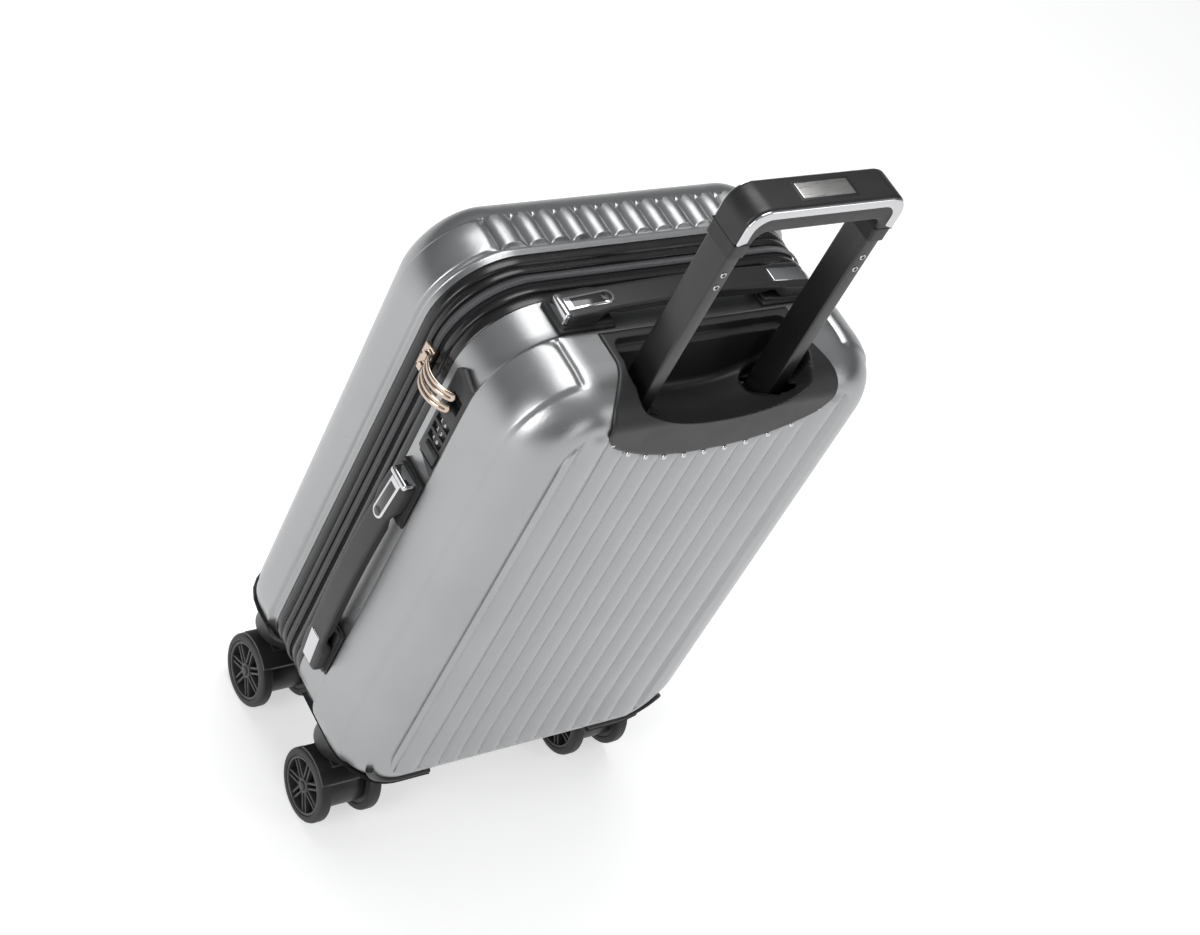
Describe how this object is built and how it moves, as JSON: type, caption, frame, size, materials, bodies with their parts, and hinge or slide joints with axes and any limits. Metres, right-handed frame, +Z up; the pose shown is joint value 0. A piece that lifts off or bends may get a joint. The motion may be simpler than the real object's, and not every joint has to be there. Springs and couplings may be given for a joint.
{
  "type": "suitcase",
  "caption": "Hard shell cabin suitcase with ribbed clamshell halves, zip band, combination lock, telescopic pull handle and four twin-wheel casters.",
  "frame": {"origin": "on the floor under the middle of the case standing on its casters", "axes": "+Z up, +X across the width towards the hinge side, -Y towards the trolley side"},
  "size_m": [0.3536, 0.212, 0.7196],
  "materials": {
    "shell": "satin metallic with fine cross-hatched texture",
    "band": "matt ribbed",
    "tape": "woven",
    "lining": "woven",
    "tube_silver": "anodised",
    "tube_black": "satin black",
    "moulding": "fine grain",
    "soft_grip": "soft touch",
    "chrome_trim": "polished",
    "brushed": "brushed",
    "steel": "drawn",
    "zip_metal": "polished pale gold",
    "dial": "black with white digits",
    "wheel": "satin",
    "hard_black": "satin"
  },
  "bodies": {
    "base": {"back_shell": "shell", "back_rim": "band", "back_zip": "tape", "hinge_strip": "tape", "lock_body": "moulding", "trolley_bezel": "moulding", "outer_tube_left": "tube_silver", "outer_tube_right": "tube_silver", "tube_foot": "moulding", "guard_back_left": "hard_black", "guard_back_right": "hard_black", "lining_back": "lining", "side_mounts": "hard_black", "top_mounts": "hard_black"},
    "lid": {"front_shell": "shell", "front_rim": "band", "front_zip": "tape", "guard_front_left": "hard_black", "guard_front_right": "hard_black", "lining_front": "lining"},
    "middle_stage": {"middle_tube_left": "tube_silver", "middle_tube_right": "tube_silver"},
    "trolley": {"inner_tube_left": "tube_black", "inner_tube_right": "tube_black", "trolley_grip": "soft_grip", "grip_trims": "chrome_trim", "trolley_rivets": "brushed"},
    "release_button": {"grip_button": "brushed", "button_rods": "steel"},
    "dial_top": {"dial_3": "dial"},
    "dial_middle": {"dial_2": "dial"},
    "dial_bottom": {"dial_1": "dial"},
    "lock_release": {"lock_slider": "moulding"},
    "side_handle": {"side_grip": "soft_grip", "side_underside": "soft_grip", "side_caps": "chrome_trim"},
    "top_handle": {"top_grip": "soft_grip", "top_underside": "soft_grip", "top_caps": "chrome_trim"},
    "slider_upper": {"zip_slider_upper": "zip_metal"},
    "slider_lower": {"zip_slider_lower": "zip_metal"},
    "pull_upper": {"puller_upper": "zip_metal"},
    "pull_lower": {"puller_lower": "zip_metal"},
    "swivel_back_left": {"fork_back_left": "hard_black"},
    "wheels_back_left": {"axle_back_left": "steel", "wheel_back_left_outer": "wheel", "wheel_back_left_inner": "wheel"},
    "swivel_back_right": {"fork_back_right": "hard_black"},
    "wheels_back_right": {"axle_back_right": "steel", "wheel_back_right_outer": "wheel", "wheel_back_right_inner": "wheel"},
    "swivel_front_left": {"fork_front_left": "hard_black"},
    "wheels_front_left": {"axle_front_left": "steel", "wheel_front_left_outer": "wheel", "wheel_front_left_inner": "wheel"},
    "swivel_front_right": {"fork_front_right": "hard_black"},
    "wheels_front_right": {"axle_front_right": "steel", "wheel_front_right_outer": "wheel", "wheel_front_right_inner": "wheel"}
  },
  "joints": [
    {"name": "lid_hinge", "type": "hinge", "parent": "base", "child": "lid", "pos_m": [0.17715, 0.023, 0.3], "axis": [0, 0, -1], "range_deg": [0, 178]},
    {"name": "middle_slide", "type": "slide", "parent": "base", "child": "middle_stage", "axis": [0, 0, 1], "range_m": [0, 0.22]},
    {"name": "trolley_slide", "type": "slide", "parent": "middle_stage", "child": "trolley", "axis": [0, 0, 1], "range_m": [-0.167, 0.083]},
    {"name": "button_press", "type": "slide", "parent": "trolley", "child": "release_button", "axis": [0, 0, -1], "range_m": [0, 0.0025], "stiffness_N_per_m": 800, "springref_m": -0.001},
    {"name": "dial_bottom_turn", "type": "hinge", "parent": "base", "child": "dial_bottom", "pos_m": [-0.15115, -0.021, 0.433], "axis": [0, 0, 1], "continuous": true},
    {"name": "dial_middle_turn", "type": "hinge", "parent": "base", "child": "dial_middle", "pos_m": [-0.15115, -0.021, 0.442], "axis": [0, 0, 1], "continuous": true},
    {"name": "dial_top_turn", "type": "hinge", "parent": "base", "child": "dial_top", "pos_m": [-0.15115, -0.021, 0.451], "axis": [0, 0, 1], "continuous": true},
    {"name": "lock_release_slide", "type": "slide", "parent": "base", "child": "lock_release", "axis": [0, 0, -1], "range_m": [0, 0.0025], "stiffness_N_per_m": 500, "springref_m": -0.001},
    {"name": "side_handle_pull", "type": "slide", "parent": "base", "child": "side_handle", "axis": [-1, 0, 0], "range_m": [0, 0.004], "stiffness_N_per_m": 1200, "springref_m": -0.0008},
    {"name": "top_handle_pull", "type": "slide", "parent": "base", "child": "top_handle", "axis": [0, 0, 1], "range_m": [0, 0.004], "stiffness_N_per_m": 1200, "springref_m": -0.003},
    {"name": "zip_upper_run", "type": "slide", "parent": "base", "child": "slider_upper", "axis": [0, 0, 1], "range_m": [0, 0.008]},
    {"name": "zip_lower_run", "type": "slide", "parent": "base", "child": "slider_lower", "axis": [0, 0, -1], "range_m": [0, 0.03]},
    {"name": "pull_upper_flip", "type": "hinge", "parent": "slider_upper", "child": "pull_upper", "pos_m": [-0.16275, 0.021, 0.478], "axis": [0, 0, -1], "range_deg": [0, 120]},
    {"name": "pull_lower_flip", "type": "hinge", "parent": "slider_lower", "child": "pull_lower", "pos_m": [-0.16275, 0.021, 0.466], "axis": [0, 0, -1], "range_deg": [0, 120]},
    {"name": "swivel_back_left_turn", "type": "hinge", "parent": "base", "child": "swivel_back_left", "pos_m": [-0.11825, -0.044, 0.07], "axis": [0, 0, 1], "continuous": true},
    {"name": "wheels_back_left_roll", "type": "hinge", "parent": "swivel_back_left", "child": "wheels_back_left", "pos_m": [-0.11825, -0.055, 0.0315], "axis": [1, 0, 0], "continuous": true},
    {"name": "swivel_back_right_turn", "type": "hinge", "parent": "base", "child": "swivel_back_right", "pos_m": [0.13575, -0.044, 0.07], "axis": [0, 0, 1], "continuous": true},
    {"name": "wheels_back_right_roll", "type": "hinge", "parent": "swivel_back_right", "child": "wheels_back_right", "pos_m": [0.13575, -0.055, 0.0315], "axis": [1, 0, 0], "continuous": true},
    {"name": "swivel_front_left_turn", "type": "hinge", "parent": "lid", "child": "swivel_front_left", "pos_m": [-0.11825, 0.073, 0.07], "axis": [0, 0, 1], "continuous": true},
    {"name": "wheels_front_left_roll", "type": "hinge", "parent": "swivel_front_left", "child": "wheels_front_left", "pos_m": [-0.11825, 0.062, 0.0315], "axis": [1, 0, 0], "continuous": true},
    {"name": "swivel_front_right_turn", "type": "hinge", "parent": "lid", "child": "swivel_front_right", "pos_m": [0.13575, 0.073, 0.07], "axis": [0, 0, 1], "continuous": true},
    {"name": "wheels_front_right_roll", "type": "hinge", "parent": "swivel_front_right", "child": "wheels_front_right", "pos_m": [0.13575, 0.062, 0.0315], "axis": [1, 0, 0], "continuous": true}
  ]
}
